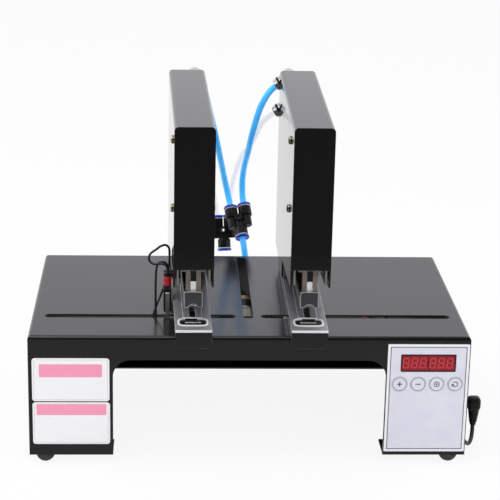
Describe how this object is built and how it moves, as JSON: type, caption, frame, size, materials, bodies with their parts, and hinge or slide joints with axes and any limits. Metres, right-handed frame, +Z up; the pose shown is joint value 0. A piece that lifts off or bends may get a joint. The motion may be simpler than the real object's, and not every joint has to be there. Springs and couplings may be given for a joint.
{
  "type": "pneumatic stapler",
  "caption": "Desk-top pneumatic stapler: two slim stapling heads clamped in the slots of a black sheet-metal table, with air hoses, a paper switch and a keyed control panel.",
  "frame": {"origin": "on the floor under the middle of the machine's box, without the power lead", "axes": "+X to the right seen from the front, +Y to the rear, +Z up"},
  "size_m": [0.385, 0.3321, 0.2972],
  "materials": {
    "black_paint": "gloss black paint on folded sheet",
    "satin_black": "satin black",
    "grey_rubber": "matt rubber",
    "grey_panel": "satin printed film",
    "red_display": "dark red display window",
    "green_board": "coated circuit board",
    "beige_plastic": "moulded plastic",
    "black_plastic": "moulded plastic",
    "wire_red": "wire insulation",
    "nickel": "nickel-plated brass",
    "white_hose": "polyurethane hose",
    "blue_plastic": "moulded plastic",
    "blue_hose": "polyurethane hose",
    "clear_hose": "clear polyurethane hose",
    "black_rubber": "wire insulation",
    "steel": "bright plated steel",
    "brass": "plated screws",
    "aluminium": "machined",
    "chrome": "polished plate",
    "dark_steel": "hardened steel"
  },
  "bodies": {
    "table": {"table_shell": "black_paint", "rear_panel": "black_paint", "rear_panel_screws": "steel", "rubber_feet": "grey_rubber", "control_panel": "grey_panel", "display_modules": "red_display", "control_board": "green_board", "valve_body": "beige_plastic", "valve_coil": "black_plastic", "valve_wires": "wire_red", "air_fittings": "nickel", "inner_hoses": "white_hose", "supply_y": "black_plastic", "return_y": "black_plastic", "release_collars": "blue_plastic", "supply_trunk": "blue_hose", "supply_left_hose": "blue_hose", "supply_right_hose": "blue_hose", "return_left_hose": "clear_hose", "return_right_hose": "clear_hose", "dc_plug": "black_plastic", "dc_lead": "black_rubber", "dc_lead_coil": "black_rubber", "power_adapter": "black_plastic", "switch_wires": "black_rubber"},
    "left_ram_set": {"left_piston_rod": "chrome", "left_ram": "steel"},
    "left_magazine_set": {"left_magazine": "steel", "left_nose_plate": "dark_steel"},
    "left_pusher_slide": {"left_pusher": "dark_steel"},
    "left_head": {"left_cover": "black_paint", "left_front_plate": "satin_black", "left_frame": "steel", "left_head_screws": "brass", "left_cylinder": "aluminium", "left_elbows": "nickel", "left_arm_base": "satin_black", "left_anvil_plate": "chrome", "left_clamp": "steel", "switch_bracket": "steel", "switch_body": "black_plastic"},
    "right_ram_set": {"right_piston_rod": "chrome", "right_ram": "steel"},
    "right_magazine_set": {"right_magazine": "steel", "right_nose_plate": "dark_steel"},
    "right_pusher_slide": {"right_pusher": "dark_steel"},
    "right_head": {"right_cover": "black_paint", "right_front_plate": "satin_black", "right_frame": "steel", "right_head_screws": "brass", "right_cylinder": "aluminium", "right_elbows": "nickel", "right_arm_base": "satin_black", "right_anvil_plate": "chrome", "right_clamp": "steel"},
    "paper_lever": {"switch_lever": "steel"},
    "key_plus_cap": {"key_plus": "grey_panel"},
    "key_minus_cap": {"key_minus": "grey_panel"},
    "key_set_cap": {"key_set": "grey_panel"},
    "key_reset_cap": {"key_reset": "grey_panel"}
  },
  "joints": [
    {"name": "left_head_slide", "type": "slide", "parent": "table", "child": "left_head", "axis": [-1, 0, 0], "range_m": [-0.012, 0.045], "deforming": ["supply_left_hose", "return_left_hose", "switch_wires"]},
    {"name": "left_ram_stroke", "type": "slide", "parent": "left_head", "child": "left_ram_set", "axis": [0, 0, -1], "range_m": [0, 0.019]},
    {"name": "left_magazine_pivot", "type": "hinge", "parent": "left_head", "child": "left_magazine_set", "pos_m": [-0.0514, 0.01081, 0.139], "axis": [0.9998, 0.0209, 0], "range_deg": [0, 4.91]},
    {"name": "left_pusher_travel", "type": "slide", "parent": "left_magazine_set", "child": "left_pusher_slide", "axis": [0.0209, -0.9961, 0.0853], "range_m": [-0.07, 0.02]},
    {"name": "right_head_slide", "type": "slide", "parent": "table", "child": "right_head", "axis": [1, 0, 0], "range_m": [-0.012, 0.045], "deforming": ["supply_right_hose", "return_right_hose"]},
    {"name": "right_ram_stroke", "type": "slide", "parent": "right_head", "child": "right_ram_set", "axis": [0, 0, -1], "range_m": [0, 0.019]},
    {"name": "right_magazine_pivot", "type": "hinge", "parent": "right_head", "child": "right_magazine_set", "pos_m": [0.04829, 0.01083, 0.139], "axis": [1, -0.0087, 0], "range_deg": [0, 4.91]},
    {"name": "right_pusher_travel", "type": "slide", "parent": "right_magazine_set", "child": "right_pusher_slide", "axis": [-0.0087, -0.9963, 0.0853], "range_m": [-0.07, 0.02]},
    {"name": "paper_lever_hinge", "type": "hinge", "parent": "left_head", "child": "paper_lever", "pos_m": [-0.06937, -0.08139, 0.1358], "axis": [0.9998, 0.0209, 0], "range_deg": [0, 7], "stiffness_Nm_per_rad": 0.02},
    {"name": "key_plus_press", "type": "slide", "parent": "table", "child": "key_plus_cap", "axis": [0, 1, 0], "range_m": [0, 0.0006], "stiffness_N_per_m": 2000},
    {"name": "key_minus_press", "type": "slide", "parent": "table", "child": "key_minus_cap", "axis": [0, 1, 0], "range_m": [0, 0.0006], "stiffness_N_per_m": 2000},
    {"name": "key_set_press", "type": "slide", "parent": "table", "child": "key_set_cap", "axis": [0, 1, 0], "range_m": [0, 0.0006], "stiffness_N_per_m": 2000},
    {"name": "key_reset_press", "type": "slide", "parent": "table", "child": "key_reset_cap", "axis": [0, 1, 0], "range_m": [0, 0.0006], "stiffness_N_per_m": 2000}
  ],
  "couplings": [
    {"joint": "left_magazine_pivot", "follows": "left_ram_stroke", "rad_per_m": 4.4931},
    {"joint": "right_magazine_pivot", "follows": "right_ram_stroke", "rad_per_m": 4.4931}
  ]
}
